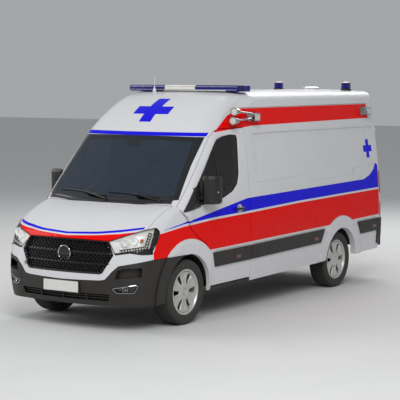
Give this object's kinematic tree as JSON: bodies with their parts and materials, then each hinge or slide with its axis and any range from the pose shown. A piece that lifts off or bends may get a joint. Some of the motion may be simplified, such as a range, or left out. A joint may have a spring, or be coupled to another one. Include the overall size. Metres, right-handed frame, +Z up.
{
  "type": "ambulance",
  "caption": "High-roof van ambulance with roof light bar, opening doors and bonnet, steering and free-turning wheels.",
  "frame": {"origin": "centre of the footprint, on the ground", "axes": "+Z up, -Y forward, +X to the vehicle's left"},
  "size_m": [2.294, 5.642, 2.6399],
  "materials": {
    "white_paint": "gloss white",
    "window_glass": "tinted glass",
    "black_plastic": "grained",
    "lamp_red": "clear red lens",
    "lamp_clear": "clear lens over chrome",
    "plate_blank": "blank plate",
    "underbody": "satin black",
    "grey_lining": "lining board",
    "white_plastic": "moulded",
    "light_bar_shell": "blue lens",
    "beacon_lens": "blue lens",
    "lamp_housing": "metal housing",
    "alloy": "cast, satin",
    "tyre": "matt",
    "dark_steel": "cast",
    "engine_metal": "cast",
    "exhaust_steel": "dull",
    "cab_trim": "grained",
    "seat_cloth": "woven"
  },
  "bodies": {
    "body": {"cab_frame": "white_paint", "windscreen": "window_glass", "roof": "white_paint", "sliding_door": "white_paint", "rear_portal": "white_paint", "tail_lamps": "lamp_red", "floor_pan": "underbody", "bulkhead": "grey_lining", "headlamps": "lamp_clear", "grille_surround": "white_paint", "grille": "black_plastic", "front_bumper": "black_plastic", "number_plate": "plate_blank", "fog_lamps": "lamp_clear", "front_wings": "white_paint", "arch_liners": "black_plastic", "cowl": "black_plastic", "wipers": "black_plastic", "side_mouldings": "black_plastic", "left_side_panel": "white_paint", "right_side_panel": "white_paint", "rear_bumper": "black_plastic", "light_bar": "light_bar_shell", "beacons": "beacon_lens", "roof_fittings": "white_plastic", "scene_lamps": "lamp_housing", "front_suspension": "dark_steel", "chassis_frame": "underbody", "rear_axle": "dark_steel", "propeller_shaft": "dark_steel", "rear_springs": "dark_steel", "engine": "engine_metal", "exhaust": "exhaust_steel", "fuel_tank": "black_plastic", "dashboard": "cab_trim", "steering_wheel": "cab_trim", "seats": "seat_cloth"},
    "bonnet": {"bonnet": "white_paint"},
    "left_front_door": {"left_front_door": "white_paint", "left_door_glass": "window_glass", "left_mirror": "black_plastic", "left_door_moulding": "black_plastic"},
    "right_front_door": {"right_front_door": "white_paint", "right_door_glass": "window_glass", "right_mirror": "black_plastic", "right_door_moulding": "black_plastic"},
    "left_rear_door": {"left_rear_door": "white_paint", "left_rear_glass": "window_glass"},
    "right_rear_door": {"right_rear_door": "white_paint", "right_rear_glass": "window_glass"},
    "left_knuckle": {"left_knuckle": "dark_steel"},
    "right_knuckle": {"right_knuckle": "dark_steel"},
    "left_front_wheel": {"left_front_rim": "alloy", "left_front_tyre": "tyre"},
    "right_front_wheel": {"right_front_rim": "alloy", "right_front_tyre": "tyre"},
    "left_rear_wheel": {"left_rear_rim": "alloy", "left_rear_tyre": "tyre"},
    "right_rear_wheel": {"right_rear_rim": "alloy", "right_rear_tyre": "tyre"}
  },
  "joints": [
    {"name": "left_front_door_hinge", "type": "hinge", "parent": "body", "child": "left_front_door", "pos_m": [0.955, -1.924, 1], "axis": [0, 0, -1], "range_deg": [0, 70]},
    {"name": "right_front_door_hinge", "type": "hinge", "parent": "body", "child": "right_front_door", "pos_m": [-0.955, -1.924, 1], "axis": [0, 0, 1], "range_deg": [0, 70]},
    {"name": "left_rear_door_hinge", "type": "hinge", "parent": "body", "child": "left_rear_door", "pos_m": [0.862, 2.767, 1.35], "axis": [0, 0, -1], "range_deg": [0, 180]},
    {"name": "right_rear_door_hinge", "type": "hinge", "parent": "body", "child": "right_rear_door", "pos_m": [-0.862, 2.767, 1.35], "axis": [0, 0, 1], "range_deg": [0, 180]},
    {"name": "bonnet_hinge", "type": "hinge", "parent": "body", "child": "bonnet", "pos_m": [0, -1.9745, 1.33], "axis": [-1, 0, 0], "range_deg": [0, 55]},
    {"name": "left_steering", "type": "hinge", "parent": "body", "child": "left_knuckle", "pos_m": [0.757, -1.849, 0.352], "axis": [0, 0, 1], "range_deg": [-32, 32]},
    {"name": "right_steering", "type": "hinge", "parent": "body", "child": "right_knuckle", "pos_m": [-0.757, -1.849, 0.352], "axis": [0, 0, 1], "range_deg": [-32, 32]},
    {"name": "left_front_wheel_spin", "type": "hinge", "parent": "left_knuckle", "child": "left_front_wheel", "pos_m": [0.835, -1.849, 0.352], "axis": [1, 0, 0], "continuous": true},
    {"name": "right_front_wheel_spin", "type": "hinge", "parent": "right_knuckle", "child": "right_front_wheel", "pos_m": [-0.835, -1.849, 0.352], "axis": [1, 0, 0], "continuous": true},
    {"name": "left_rear_wheel_spin", "type": "hinge", "parent": "body", "child": "left_rear_wheel", "pos_m": [0.835, 1.586, 0.352], "axis": [1, 0, 0], "continuous": true},
    {"name": "right_rear_wheel_spin", "type": "hinge", "parent": "body", "child": "right_rear_wheel", "pos_m": [-0.835, 1.586, 0.352], "axis": [1, 0, 0], "continuous": true}
  ],
  "couplings": [
    {"joint": "right_steering", "follows": "left_steering", "ratio": 1}
  ]
}
